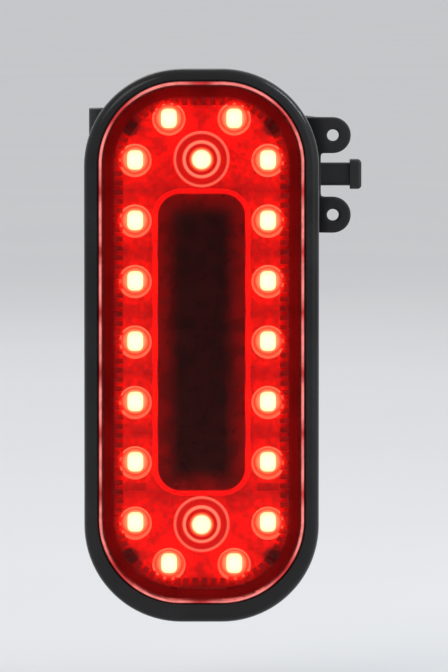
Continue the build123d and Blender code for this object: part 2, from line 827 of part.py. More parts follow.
with BuildPart() as lens:
    with BuildSketch(rear_plane(lens_foot, lens_z)):
        rounded(opening_outline, lens_clearance)
    extrude(amount=lens_crown - lens_foot)
    with BuildSketch(Plane.XY.offset(lens_z - case_height / 2)):
        with Locations((0, lens_crown_radius - lens_crown)):
            Circle(lens_crown_radius)
    extrude(amount=case_height, mode=Mode.INTERSECT)
    fillet(lens.faces().sort_by(Axis.Y)[0].edges(), radius=lens_edge_round)
    add(lens_hollow.part, mode=Mode.SUBTRACT)
lens.part.label = "lens"
export_step(lens.part, "parts/lens.step")

with BuildPart() as lens_seal:
    with BuildSketch(rear_plane(seat_depth, lens_z)):
        rounded(opening_outline, lens_clearance)
        rounded(opening_outline, lens_clearance + lens_wall, mode=Mode.SUBTRACT)
    extrude(amount=seal_thickness)
lens_seal.part.label = "lens_seal"
export_step(lens_seal.part, "parts/lens_seal.step")

# Board behind the lens, with notches for the frame's bosses
with BuildPart() as led_board:
    with BuildSketch(rear_plane(led_board_front, lens_z)):
        rounded(opening_outline, ledge_width + led_board_clearance)
        with Locations(*case_screw_spots):
            Circle(boss_radius + boss_clearance, mode=Mode.SUBTRACT)
    extrude(amount=led_board_thickness)
led_board.part.label = "led_board"
export_step(led_board.part, "parts/led_board.step")

with BuildPart() as ring_leds:
    with BuildSketch(rear_plane(led_board_back, lens_z)):
        with Locations(*ring_spots):
            RectangleRounded(led_width, led_length, led_corner)
    extrude(amount=led_thickness)
    fillet(ring_leds.faces().filter_by(Axis.Y).group_by(Axis.Y)[0].edges(), radius=led_round)
ring_leds.part.label = "ring_leds"
export_step(ring_leds.part, "parts/ring_leds.step")

with BuildPart() as main_leds:
    with BuildSketch(rear_plane(led_board_back, lens_z)):
        with GridLocations(0, 2 * main_led_z, 1, 2):
            Rectangle(main_led_size, main_led_size)
    extrude(amount=main_led_thickness)
main_leds.part.label = "main_leds"
export_step(main_leds.part, "parts/main_leds.step")

# Plate round the lights: a pocket for each, radial flutes on its bevelled edge, and a window
reflector_inset = ledge_width + reflector_clearance
flute_path = RectangleRounded(
    opening_outline[0] - 2 * reflector_inset,
    opening_outline[1] - 2 * reflector_inset,
    opening_outline[2] - reflector_inset,
    mode=Mode.PRIVATE,
).wire()
flute_count = round(flute_path.length / flute_pitch)
flute_steps = [step / flute_count for step in range(flute_count)]
flute_spots = [Location(flute_path @ step, flute_path.tangent_angle_at(step)) for step in flute_steps]
with BuildPart() as reflector:
    with BuildSketch(rear_plane(reflector_front, lens_z)):
        rounded(opening_outline, reflector_inset)
    extrude(amount=reflector_thickness)
    chamfer(reflector.faces().sort_by(Axis.Y)[0].edges(), length=reflector_bevel)
    with BuildSketch(rear_plane(reflector_back - reflector_bevel, lens_z)):
        with Locations(*flute_spots):
            Rectangle(2 * flute_radius, 2 * reflector_bevel)
    extrude(amount=reflector_bevel, mode=Mode.SUBTRACT)
    with BuildSketch(rear_plane(reflector_back, lens_z)):
        rounded(panel_outline, -panel_clearance - lip_width)
    extrude(amount=lip_height)
    with BuildSketch(rear_plane(panel_front, lens_z)):
        rounded(panel_outline, -panel_clearance)
    extrude(amount=panel_sink + lip_height, mode=Mode.SUBTRACT)
    with BuildSketch(rear_plane(reflector_front, lens_z)):
        rounded(panel_outline, panel_shelf)
        with GridLocations(0, 2 * main_led_z, 1, 2):
            Circle(seat_radius)
    extrude(amount=reflector_thickness, mode=Mode.SUBTRACT)
    with BuildSketch(rear_plane(reflector_front, lens_z)):
        with Locations(*case_screw_spots):
            Circle(boss_radius + boss_clearance)
    extrude(amount=boss_back + boss_clearance - reflector_front, mode=Mode.SUBTRACT)
    with Locations(rear_plane(reflector_back, lens_z)):
        with Locations(*ring_spots):
            Cone(
                pocket_floor_radius, pocket_mouth_radius, reflector_thickness,
                align=below, mode=Mode.SUBTRACT,
            )
    with BuildSketch(rear_plane(reflector_back - dash_depth, lens_z)):
        with Locations((-column_x, dash_z), (column_x, dash_z)):
            Rectangle(dash_width, dash_height)
    extrude(amount=dash_depth, mode=Mode.SUBTRACT)
reflector.part.label = "reflector"
export_step(reflector.part, "parts/reflector.step")

# Round lenses over the two main lights: a foot ring, a stepped rim and a dome
collimator_radius = seat_radius - collimator_clearance
step_height = collimator_rim_height + collimator_step_height
dome_height = step_height + collimator_dome_height


def collimator_section():
    """Half section of a collimator: across from its axis, and rearward from its foot."""
    with BuildLine() as outline:
        rim = Polyline(
            (0, collimator_hollow_height),
            (collimator_hollow_radius, collimator_hollow_height),
            (collimator_hollow_radius, 0),
            (collimator_radius, 0),
            (collimator_radius, collimator_rim_height),
            (collimator_step_radius, collimator_rim_height),
            (collimator_step_radius, step_height),
        )
        dome = RadiusArc(
            rim @ 1, (0, dome_height),
            -(collimator_step_radius**2 + collimator_dome_height**2) / (2 * collimator_dome_height),
        )
        Line(dome @ 1, rim @ 0)
    make_face(outline.edges())


with BuildPart() as upper_collimator:
    with BuildSketch(section_plane(led_board_back, lens_z + main_led_z)):
        collimator_section()
    revolve(axis=Axis((0, 0, lens_z + main_led_z), (0, 1, 0)))
upper_collimator.part.label = "upper_collimator"
export_step(upper_collimator.part, "parts/upper_collimator.step")

with BuildPart() as lower_collimator:
    with BuildSketch(section_plane(led_board_back, lens_z - main_led_z)):
        collimator_section()
    revolve(axis=Axis((0, 0, lens_z - main_led_z), (0, 1, 0)))
lower_collimator.part.label = "lower_collimator"
export_step(lower_collimator.part, "parts/lower_collimator.step")

# Radar window and the board with the copper patches behind it
with BuildPart() as centre_panel:
    with BuildSketch(rear_plane(panel_front, lens_z)):
        rounded(panel_outline)
    extrude(amount=panel_thickness)
centre_panel.part.label = "centre_panel"
export_step(centre_panel.part, "parts/centre_panel.step")

with BuildPart() as radar_board:
    with BuildSketch(rear_plane(radar_board_front, lens_z)):
        rounded(panel_outline, panel_shelf + radar_board_clearance)
    extrude(amount=radar_board_thickness)
radar_board.part.label = "radar_board"
export_step(radar_board.part, "parts/radar_board.step")

with BuildPart() as antenna_patches:
    with BuildSketch(rear_plane(radar_board_back, lens_z)):
        with GridLocations(patch_pitch, patch_pitch, patch_columns, patch_rows):
            Rectangle(patch_size, patch_size)
    extrude(amount=patch_thickness)
antenna_patches.part.label = "antenna_patches"
export_step(antenna_patches.part, "parts/antenna_patches.step")

# Main board, which rests on the shoulders of the screw tubes
with BuildPart() as main_board:
    with BuildSketch(rear_plane(main_board_front, case_z)):
        rounded(board_outline)
        with Locations(*[(x, z + lens_rise) for x, z in case_screw_spots]):
            Circle(boss_radius + boss_clearance, mode=Mode.SUBTRACT)
    extrude(amount=main_board_thickness)
main_board.part.label = "main_board"
export_step(main_board.part, "parts/main_board.step")

with BuildPart() as board_posts:
    with BuildSketch(rear_plane(main_board_back, case_z)):
        with GridLocations(2 * board_post_x, 2 * board_post_z, 2, 2):
            Circle(board_post_radius)
    extrude(amount=board_gap)
board_posts.part.label = "board_posts"
export_step(board_posts.part, "parts/board_posts.step")

# One plug joins the main board to the LED board, and another joins that to the radar board
with BuildPart() as board_headers:
    with BuildSketch(rear_plane(main_board_back, case_z + header_z)):
        Rectangle(header_width, header_height)
    extrude(amount=board_gap)
    with BuildSketch(rear_plane(led_board_back, lens_z)):
        Rectangle(header_width, header_height)
    extrude(amount=radar_board_gap)
board_headers.part.label = "board_headers"
export_step(board_headers.part, "parts/board_headers.step")

# Folded sheet can over the radar chip
with BuildPart() as radar_shield:
    with BuildSketch(rear_plane(main_board_back, case_z + shield_z)):
        Rectangle(shield_size, shield_size)
    extrude(amount=shield_thickness)
    with BuildSketch(rear_plane(main_board_back, case_z + shield_z)):
        Rectangle(shield_size - 2 * shield_wall, shield_size - 2 * shield_wall)
    extrude(amount=shield_thickness - shield_wall, mode=Mode.SUBTRACT)
radar_shield.part.label = "radar_shield"
export_step(radar_shield.part, "parts/radar_shield.step")

with BuildPart() as board_chips:
    with BuildSketch(rear_plane(main_board_back, case_z)):
        with Locations((-chip_size, 0)):
            Rectangle(chip_size, chip_size)
        with Locations((chip_size, small_chip_size), (-chip_size, -2 * chip_size)):
            Rectangle(small_chip_size, small_chip_size)
        with Locations((0, shield_z)):
            Rectangle(chip_size, chip_size)
    extrude(amount=chip_thickness)
    with BuildSketch(rear_plane(main_board_back, case_z)):
        with Locations((chip_size, -small_chip_size)):
            Rectangle(small_chip_size, small_chip_size)
    extrude(amount=coil_thickness)
board_chips.part.label = "board_chips"
export_step(board_chips.part, "parts/board_chips.step")

# Battery on its foam, held by a tray that bridges it
battery_height = battery_top - battery_bottom
battery_middle = (battery_top + battery_bottom) / 2
with BuildPart() as battery_foam:
    with BuildSketch(rear_plane(floor_depth, battery_middle)):
        Rectangle(battery_width - 2 * battery_round, battery_height - 2 * battery_round)
    extrude(amount=foam_thickness)
battery_foam.part.label = "battery_foam"
export_step(battery_foam.part, "parts/battery_foam.step")

with BuildPart() as battery_cell:
    with BuildSketch(rear_plane(battery_front, battery_middle)):
        Rectangle(battery_width, battery_height)
    extrude(amount=battery_thickness)
    fillet(battery_cell.edges().filter_by(Axis.Z), radius=battery_round)
battery_cell.part.label = "battery_cell"
export_step(battery_cell.part, "parts/battery_cell.step")

with BuildPart() as battery_tray:
    with BuildSketch(rear_plane(floor_depth, battery_middle)):
        Rectangle(tray_width, battery_height + 2 * (tray_gap + tray_leg))
    extrude(amount=tray_front + tray_thickness - floor_depth)
    with BuildSketch(rear_plane(floor_depth, battery_middle)):
        Rectangle(tray_width, battery_height + 2 * tray_gap)
    extrude(amount=tray_front - floor_depth, mode=Mode.SUBTRACT)
battery_tray.part.label = "battery_tray"
export_step(battery_tray.part, "parts/battery_tray.step")

# Plug of the battery on the main board, and the two leads clipped between it and the cell
lead_start = battery_front + lead_depth_in_cell
lead_end = main_board_front - connector_thickness / 2
with BuildPart() as battery_connector:
    with BuildSketch(rear_plane(main_board_front - connector_thickness, battery_top + 3 * lead_run)):
        with Locations((lead_x, 0)):
            Rectangle(connector_width, connector_height, align=(Align.CENTER, Align.MIN))
    extrude(amount=connector_thickness)
battery_connector.part.label = "battery_connector"
export_step(battery_connector.part, "parts/battery_connector.step")

with BuildPart() as battery_leads:
    for x in (lead_x - lead_spacing / 2, lead_x + lead_spacing / 2):
        with BuildLine():
            lead = FilletPolyline(
                (x, -lead_start, battery_top),
                (x, -lead_start, battery_top + lead_run),
                (x, -lead_end, battery_top + 2 * lead_run),
                (x, -lead_end, battery_top + 3 * lead_run),
                radius=lead_bend,
            )
        with BuildSketch(Plane(origin=lead @ 0, z_dir=lead % 0)):
            Circle(lead_radius)
        sweep(path=lead)
battery_leads.part.label = "battery_leads"
export_step(battery_leads.part, "parts/battery_leads.step")

# Power button: a cap flush with the case, a flange that keeps it in, and a stem
button_rest = end_pad_face - button_rest_gap
stem_end = button_rest - button_flange_thickness - button_stem_length
with BuildPart() as button_cap:
    with BuildSketch(Plane.XY.offset(case_z + button_rest)):
        with Locations((0, -switch_depth)):
            SlotOverall(button_width, button_height)
    extrude(amount=end_pad_wall + button_rest_gap)
    add(case_body.part, mode=Mode.INTERSECT)
    with BuildSketch(Plane.XY.offset(case_z + button_rest)):
        with Locations((0, -switch_depth)):
            SlotOverall(button_width + 2 * button_flange, button_height + 2 * button_flange)
    extrude(amount=-button_flange_thickness)
    with BuildSketch(Plane.XY.offset(case_z + stem_end)):
        with Locations((0, -switch_depth)):
            Circle(button_stem_radius)
    extrude(amount=button_stem_length)
button_cap.part.label = "button_cap"
export_step(button_cap.part, "parts/button_cap.step")

with BuildPart() as button_seal:
    with BuildSketch(Plane.XY.offset(case_z + end_pad_face)):
        with Locations((0, -switch_depth)):
            inner_seal = 2 * (button_flange + seal_ring_gap)
            outer_seal = inner_seal + 2 * seal_ring_width
            SlotOverall(button_width + outer_seal, button_height + outer_seal)
            SlotOverall(button_width + inner_seal, button_height + inner_seal, mode=Mode.SUBTRACT)
    extrude(amount=-seal_ring_thickness)
button_seal.part.label = "button_seal"
export_step(button_seal.part, "parts/button_seal.step")

# Switch on the main board, and its plunger, which moves with the button
switch_top = board_end - switch_drop
with BuildPart() as tact_switch:
    with BuildSketch(Plane.XY.offset(case_z + switch_top)):
        with Locations((0, -switch_depth)):
            Rectangle(switch_width, switch_thickness)
    extrude(amount=-switch_height)
    with BuildSketch(Plane.XY.offset(case_z + switch_top)):
        with Locations((0, -switch_depth)):
            Rectangle(plunger_width + 2 * plunger_clearance, plunger_thickness + 2 * plunger_clearance)
    extrude(amount=-(plunger_depth + button_travel + plunger_clearance), mode=Mode.SUBTRACT)
tact_switch.part.label = "tact_switch"
export_step(tact_switch.part, "parts/tact_switch.step")

with BuildPart() as switch_plunger:
    with BuildSketch(Plane.XY.offset(case_z + switch_top - plunger_depth)):
        with Locations((0, -switch_depth)):
            Rectangle(plunger_width, plunger_thickness)
    extrude(amount=stem_end - switch_top + plunger_depth)
switch_plunger.part.label = "switch_plunger"
export_step(switch_plunger.part, "parts/switch_plunger.step")

# Status light on the board, and the pipe that carries it to the outside
status_led_top = board_end - status_led_drop
with BuildPart() as status_led:
    with BuildSketch(Plane.XY.offset(case_z + status_led_top)):
        with Locations((pipe_x, -main_board_front)):
            Rectangle(status_led_width, status_led_width, align=(Align.CENTER, Align.MIN))
    extrude(amount=-status_led_size)
status_led.part.label = "status_led"
export_step(status_led.part, "parts/status_led.step")

with BuildPart() as light_pipe:
    with BuildSketch(Plane.XY.offset(case_z + status_led_top + status_led_gap)):
        with Locations((pipe_x, -switch_depth)):
            Circle(pipe_radius)
    extrude(amount=case_height / 2 - status_led_top)
    add(case_body.part, mode=Mode.INTERSECT)
    with BuildSketch(Plane.XY.offset(case_z + end_pad_face)):
        with Locations((pipe_x, -switch_depth)):
            Circle(pipe_radius + pipe_collar)
    extrude(amount=-pipe_collar_thickness)
light_pipe.part.label = "light_pipe"
export_step(light_pipe.part, "parts/light_pipe.step")

# Charging socket: a shell on the main board and the tongue inside it
usb_mouth = -cover_floor + usb_sink
with BuildPart() as usb_shell:
    with BuildSketch(Plane.XY.offset(case_z + usb_mouth)):
        with Locations((0, -usb_depth)):
            SlotOverall(usb_width, usb_height)
    extrude(amount=usb_length)
    with BuildSketch(Plane.XY.offset(case_z + usb_mouth)):
        with Locations((0, -usb_depth)):
            SlotOverall(usb_width - 2 * usb_wall, usb_height - 2 * usb_wall)
    extrude(amount=usb_length - usb_wall, mode=Mode.SUBTRACT)
usb_shell.part.label = "usb_shell"
export_step(usb_shell.part, "parts/usb_shell.step")

with BuildPart() as usb_tongue:
    with BuildSketch(Plane.XY.offset(case_z + usb_mouth + tongue_setback)):
        with Locations((0, -usb_depth)):
            Rectangle(tongue_width, tongue_thickness)
    extrude(amount=usb_length - usb_wall - tongue_setback)
usb_tongue.part.label = "usb_tongue"
export_step(usb_tongue.part, "parts/usb_tongue.step")

# Rubber cover over the socket, with a plug for its mouth, and the anchor that it hinges on
plug_inset = usb_wall + cover_plug_inset
with BuildPart() as usb_cover:
    with BuildSketch(Plane.XY.offset(case_z - cover_floor - cover_floor_gap)):
        with Locations((0, -usb_depth)):
            RectangleRounded(cover_width, cover_length, cover_corner)
    extrude(amount=-cover_recess)
    add(case_body.part, mode=Mode.INTERSECT)
    with BuildSketch(Plane.XY.offset(case_z - cover_floor - cover_floor_gap)):
        with Locations((0, -usb_depth)):
            SlotOverall(usb_width - 2 * plug_inset, usb_height - 2 * plug_inset)
    extrude(amount=cover_floor_gap + cover_plug_height)
usb_cover.part.label = "usb_cover"
export_step(usb_cover.part, "parts/usb_cover.step")

with BuildPart() as cover_anchor:
    with BuildSketch(Plane.XY.offset(case_z - cover_floor)):
        with Locations((anchor_x, -usb_depth)):
            RectangleRounded(anchor_width, cover_length, cover_corner)
    extrude(amount=-cover_recess)
    add(case_body.part, mode=Mode.INTERSECT)
    with BuildSketch(Plane.XY.offset(case_z - cover_floor)):
        with Locations((anchor_x, -usb_depth)):
            Circle(anchor_peg_radius)
    extrude(amount=anchor_peg_length)
cover_anchor.part.label = "cover_anchor"
export_step(cover_anchor.part, "parts/cover_anchor.step")

# Where the cover's hinge and the button's slide lie. The hinge clears the deeper edge of the cover.
hinge_x = (cover_left + anchor_right) / 2
hinge_z = case_z - end_height(hinge_x, usb_depth + cover_length / 2)
print("cover hinge runs along Y at", round(hinge_x, 3), round(-usb_depth, 3), round(hinge_z, 3))
print("button slides along Z at", 0, round(-switch_depth, 3), round(case_z + end_pad_face, 3))
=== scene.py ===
import json
from math import cos, radians, sin

import bmesh
import bpy
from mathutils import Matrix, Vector


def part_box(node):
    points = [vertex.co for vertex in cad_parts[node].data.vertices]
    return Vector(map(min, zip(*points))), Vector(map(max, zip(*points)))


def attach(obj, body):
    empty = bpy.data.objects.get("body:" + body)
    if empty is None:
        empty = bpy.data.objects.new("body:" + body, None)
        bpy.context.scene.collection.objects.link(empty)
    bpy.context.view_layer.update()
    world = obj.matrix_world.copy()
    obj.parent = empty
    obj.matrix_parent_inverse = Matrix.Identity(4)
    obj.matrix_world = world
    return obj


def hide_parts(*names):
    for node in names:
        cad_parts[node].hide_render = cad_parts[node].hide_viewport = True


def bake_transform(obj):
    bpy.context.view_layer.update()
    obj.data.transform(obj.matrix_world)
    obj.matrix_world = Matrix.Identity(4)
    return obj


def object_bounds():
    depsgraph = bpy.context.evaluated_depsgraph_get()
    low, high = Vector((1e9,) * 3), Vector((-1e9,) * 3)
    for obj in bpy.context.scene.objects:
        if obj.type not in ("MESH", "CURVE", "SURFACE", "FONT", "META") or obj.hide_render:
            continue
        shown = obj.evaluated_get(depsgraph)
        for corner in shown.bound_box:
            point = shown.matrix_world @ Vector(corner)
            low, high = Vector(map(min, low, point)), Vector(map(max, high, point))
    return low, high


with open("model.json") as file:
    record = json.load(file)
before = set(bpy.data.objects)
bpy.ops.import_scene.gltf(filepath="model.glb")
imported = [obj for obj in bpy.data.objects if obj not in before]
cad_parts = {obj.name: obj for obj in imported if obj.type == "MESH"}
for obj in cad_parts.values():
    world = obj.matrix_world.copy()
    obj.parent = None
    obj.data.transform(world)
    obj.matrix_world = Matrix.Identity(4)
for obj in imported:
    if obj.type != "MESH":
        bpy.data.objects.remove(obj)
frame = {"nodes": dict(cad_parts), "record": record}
cad_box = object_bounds()

# Looks of a bicycle radar tail light, lit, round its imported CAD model. Sizes are in metres.
MM = 0.001

# Places of the lights, in the plane of the lens: across from its middle, and up or down from it
COLUMN_X = 12.0 * MM
ROW_PITCH = 10.93 * MM
LAST_ROW = 3
PAIR_X = 5.9 * MM
PAIR_Z = 40.3 * MM
LARGE_Z = 33.0 * MM

lens_low, lens_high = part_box("lens")
LENS_MIDDLE = (lens_low + lens_high) / 2
LENS_HALF_WIDTH = (lens_high.x - lens_low.x) / 2
LENS_HALF_HEIGHT = (lens_high.z - lens_low.z) / 2
LENS_CORNER = 15.1 * MM

# Plate round the lights: its face, the lip round the window, the bosses behind its corners, and
# the rims of the lights' pockets, which place its painted shade and painted highlight. A pair gives the
# distances where a change begins and ends
LIP_HEIGHT = 0.7 * MM
PLATE_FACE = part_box("reflector")[0].y + LIP_HEIGHT
FLUTE_DEPTH = 2.0 * MM
BOSS_X = 12.8 * MM
BOSS_Z = 38.8 * MM
BOSS_SPOT = (1.1 * MM, 2.0 * MM)
SMALL_POCKET_RIM = (2.9 * MM, 3.5 * MM)
LARGE_POCKET_RIM = (5.2 * MM, 5.6 * MM)

# How far the painted glow of the lights reaches, where the lit resin stops being lit, and where the lens's
# edge stops having the pink of its painted glow
SMALL_GLOW = 12 * MM
LARGE_GLOW = 14 * MM
RESIN_RADIUS = 2.4 * MM
RESIN_CORE = (0.9 * MM, 2.2 * MM)
LARGE_CORE = (1.5 * MM, 2.2 * MM)
EDGE_GLOW = (6.4 * MM, 8.4 * MM)

# Radii of the large lights' lenses, and of the weld round the breather membrane
COLLIMATOR_RADIUS = 5.2 * MM
WELD_INSIDE = (2.2 * MM, 2.35 * MM)
WELD_OUTSIDE = (2.75 * MM, 2.9 * MM)

# Depths from the lens's outline: its ground edge, which has a painted glow, and the band of painted shade
# inside it
GROUND_OUTSIDE = (0.14 * MM, 0.32 * MM)
GROUND_INSIDE = (0.50 * MM, 0.82 * MM)
EDGE_SHADE_OUTSIDE = (0.7 * MM, 1.2 * MM)
EDGE_SHADE_INSIDE = (2.4 * MM, 3.2 * MM)
EDGE_SHADE_SHARE = 0.8

# Radar window, and how far the painted red glow at its sides reaches into it
WINDOW_HALF_WIDTH = 7.8 * MM
WINDOW_HALF_HEIGHT = 26.7 * MM
WINDOW_CORNER = 4.0 * MM
WINDOW_GLOW = 4.2 * MM

# Camera
VIEW_DISTANCE = 1.35
VIEW_ELEVATION = radians(3.5)
FRAME_HEIGHT = 0.124
SENSOR = 36.0

# Colours, as linear red, green and blue
BLACK_PLASTIC = (0.005, 0.005, 0.0055)
BLACK_NYLON = (0.012, 0.0123, 0.013)
BLACK_RUBBER = (0.011, 0.011, 0.012)
SILICONE_GREY = (0.05, 0.05, 0.052)
DUST = (0.32, 0.30, 0.27)
STEEL = (0.56, 0.55, 0.53)
COPPER = (0.85, 0.45, 0.28)
FOIL = (0.72, 0.73, 0.75)
SOLDER_MASK = (0.012, 0.075, 0.035)
NATURAL_NYLON = (0.74, 0.70, 0.58)
MEMBRANE = (0.40, 0.40, 0.39)
RED_LEAD = (0.35, 0.015, 0.012)
RED_PLASTIC = (0.20, 0.004, 0.005)
WHITE_MASK = (0.55, 0.50, 0.46)
WINDOW_RED = (0.006, 0.0006, 0.0008)
CLEAR_RED = (0.98, 0.66, 0.62)
CLEAR_PLASTIC = (0.14, 0.10, 0.10)
# Painted glow on the lens's ground edge: red, and pink near the lights
RIM_RED = (0.42, 0.020, 0.020)
RIM_PINK = (0.90, 0.24, 0.22)


class Graph:
    """The node tree of one material, with short ways to add to it."""

    def __init__(self, name):
        self.material = bpy.data.materials.new(name)
        self.material.use_nodes = True
        self.tree = self.material.node_tree
        self.tree.nodes.clear()
        self.output = self.tree.nodes.new("ShaderNodeOutputMaterial")
        self.place = self.node("TexCoord").outputs["Object"]

    def node(self, kind, **settings):
        made = self.tree.nodes.new("ShaderNode" + kind)
        for name, value in settings.items():
            setattr(made, name, value)
        return made

    def put(self, socket, value):
        """Link a socket to an input, or set the input to a plain value."""
        if isinstance(value, bpy.types.NodeSocket):
            self.tree.links.new(value, socket)
        elif isinstance(value, tuple) and len(value) == 3 and socket.type == "RGBA":
            socket.default_value = (*value, 1.0)
        else:
            socket.default_value = value

    def math(self, operation, *values):
        made = self.node("Math", operation=operation)
        for socket, value in zip(made.inputs, values):
            self.put(socket, value)
        return made.outputs[0]

    def axes(self):
        """The X, Y and Z of a point."""
        parts = self.node("SeparateXYZ")
        self.put(parts.inputs[0], self.place)
        return parts.outputs

    def span(self, value, low, high, to_low=0.0, to_high=1.0):
        """Turn a range of values smoothly into another."""
        made = self.node("MapRange", interpolation_type="SMOOTHSTEP")
        for name, number in (
            ("Value", value), ("From Min", low), ("From Max", high), ("To Min", to_low), ("To Max", to_high)
        ):
            self.put(made.inputs[name], number)
        return made.outputs["Result"]

    def band(self, value, rise, fall):
        """1 between a rise and a fall, each a pair of values, and 0 beyond them."""
        return self.math("MULTIPLY", self.span(value, *rise), self.span(value, *fall, 1.0, 0.0))

    def mix(self, factor, first, second):
        made = self.node("Mix", data_type="RGBA")
        for index, value in ((0, factor), (6, first), (7, second)):
            self.put(made.inputs[index], value)
        return made.outputs[2]

    def noise(self, size, detail=2.0, stretch=(1.0, 1.0, 1.0)):
        """Noise whose features have a real size, stretched along the axes."""
        mapping = self.node("Mapping", vector_type="TEXTURE")
        self.put(mapping.inputs["Vector"], self.place)
        self.put(mapping.inputs["Scale"], tuple(size * part for part in stretch))
        made = self.node("TexNoise")
        self.put(made.inputs["Vector"], mapping.outputs[0])
        self.put(made.inputs["Scale"], 1.0)
        self.put(made.inputs["Detail"], detail)
        return made.outputs["Fac"]

    def ramp(self, factor, stops):
        """Colours along a factor from 0 to 1, given as (place, colour) pairs."""
        made = self.node("ValToRGB")
        marks = made.color_ramp.elements
        for index, (place, colour) in enumerate(stops):
            mark = marks[index] if index < len(marks) else marks.new(place)
            mark.position = place
            mark.color = (*colour, 1.0)
        self.put(made.inputs["Fac"], factor)
        return made.outputs["Color"]

    def bump(self, height, depth):
        made = self.node("Bump")
        self.put(made.inputs["Height"], height)
        self.put(made.inputs["Distance"], depth)
        return made.outputs["Normal"]

    def surface(self, **inputs):
        """A Principled shader; an input's name has _ for a space."""
        made = self.node("BsdfPrincipled")
        for name, value in inputs.items():
            self.put(made.inputs[name.replace("_", " ")], value)
        return made.outputs[0]

    def blend(self, factor, first, second):
        made = self.node("MixShader")
        for socket, value in zip(made.inputs, (factor, first, second)):
            self.put(socket, value)
        return made.outputs[0]

    def finish(self, shader):
        self.tree.links.new(shader, self.output.inputs["Surface"])
        return self.material


def dimmed(colour, share):
    """A colour at a share of its strength."""
    return tuple(part * share for part in colour)


def dusted(graph, colour, amount):
    """A colour with a little dust on what faces up."""
    facing = graph.node("SeparateXYZ")
    graph.put(facing.inputs[0], graph.node("NewGeometry").outputs["Normal"])
    upward = graph.span(facing.outputs["Z"], 0.2, 1.0)
    specks = graph.span(graph.noise(0.7 * MM, 6.0), 0.46, 0.78)
    cover = graph.math("MULTIPLY", graph.math("MULTIPLY", upward, specks), amount)
    return graph.mix(cover, colour, DUST)


def moulded(name, colour, roughness=0.45, grain=0.28 * MM, depth=0.006 * MM, dust=0.035, shine=0.4):
    """Moulded plastic or rubber: a fine grain, and patches that shine a little more or less."""
    graph = Graph(name)
    patches = graph.noise(9 * MM, 4.0)
    lighter = tuple(min(part * 1.5 + 0.002, 1.0) for part in colour)
    mottled = graph.mix(graph.span(patches, 0.35, 0.7), colour, lighter)
    return graph.finish(graph.surface(
        Base_Color=dusted(graph, mottled, dust),
        Roughness=graph.span(patches, 0.3, 0.7, roughness - 0.06, roughness + 0.06),
        Specular_IOR_Level=shine,
        Normal=graph.bump(graph.noise(grain, 3.0), depth),
    ))


def metal(name, colour, roughness=0.3, stretch=(1.0, 1.0, 12.0)):
    """Metal with fine marks drawn out along one axis."""
    graph = Graph(name)
    marks = graph.noise(0.12 * MM, 3.0, stretch)
    return graph.finish(graph.surface(
        Base_Color=graph.mix(graph.noise(2.5 * MM, 4.0), colour, dimmed(colour, 0.82)),
        Metallic=1.0,
        Roughness=graph.span(marks, 0.2, 0.8, roughness - 0.08, roughness + 0.12),
        Normal=graph.bump(marks, 0.003 * MM),
    ))


def length_of(graph, across, up):
    """Length of a step with two sides, both 0 or more."""
    squares = graph.math("ADD", graph.math("POWER", across, 2.0), graph.math("POWER", up, 2.0))
    return graph.math("SQRT", squares)


def distance_to(graph, across, up, x, z):
    """Distance in the plane of the lens from (across, up) to (x, z)."""
    return length_of(
        graph,
        graph.math("ABSOLUTE", graph.math("SUBTRACT", across, x)),
        graph.math("ABSOLUTE", graph.math("SUBTRACT", up, z)),
    )


def off_middle(graph):
    """How far a point lies across and up from the middle of the lens, both 0 or more."""
    place = graph.axes()
    across = graph.math("ABSOLUTE", place["X"])
    return across, graph.math("ABSOLUTE", graph.math("SUBTRACT", place["Z"], LENS_MIDDLE.z))


def light_distances(graph):
    """Distances in the plane of the lens to the nearest small light and to the nearest large one."""
    across, up = off_middle(graph)
    row = graph.math("MINIMUM", graph.math("ROUND", graph.math("DIVIDE", up, ROW_PITCH)), LAST_ROW)
    row_z = graph.math("MULTIPLY", row, ROW_PITCH)
    column = distance_to(graph, across, up, COLUMN_X, row_z)
    pair = distance_to(graph, across, up, PAIR_X, PAIR_Z)
    large = distance_to(graph, across, up, 0.0, LARGE_Z)
    return graph.math("MINIMUM", column, pair), large


def edge_depth(graph, half_width, half_height, corner):
    """How far a point lies inside a rounded rectangle round the middle of the lens."""
    across, up = off_middle(graph)
    across = graph.math("SUBTRACT", across, half_width - corner)
    up = graph.math("SUBTRACT", up, half_height - corner)
    outside = length_of(graph, graph.math("MAXIMUM", across, 0.0), graph.math("MAXIMUM", up, 0.0))
    inside = graph.math("MINIMUM", graph.math("MAXIMUM", across, up), 0.0)
    return graph.math("SUBTRACT", corner, graph.math("ADD", outside, inside))


def painted_glow_between(graph, small, large):
    """Painted red glow, standing for the light that the lit resin throws on what is round it."""
    near_small = graph.ramp(graph.math("DIVIDE", small, SMALL_GLOW), [
        (0.0, (1.0, 0.50, 0.20)),
        (0.14, (1.0, 0.24, 0.07)),
        (0.19, (0.92, 0.032, 0.009)),
        (0.25, (0.84, 0.008, 0.002)),
        (0.32, (0.80, 0.004, 0.001)),
        (0.46, (0.48, 0.001, 0.001)),
        (0.70, (0.22, 0.0, 0.0)),
        (1.0, (0.06, 0.0, 0.0)),
    ])
    near_large = graph.ramp(graph.math("DIVIDE", large, LARGE_GLOW), [
        (0.0, (0.9, 0.02, 0.01)),
        (0.38, (0.46, 0.002, 0.001)),
        (0.6, (0.14, 0.0, 0.0)),
        (1.0, (0.0, 0.0, 0.0)),
    ])
    both = graph.node("Mix", data_type="RGBA", blend_type="ADD")
    for index, value in ((0, 1.0), (6, near_small), (7, near_large)):
        graph.put(both.inputs[index], value)
    return both.outputs[2]


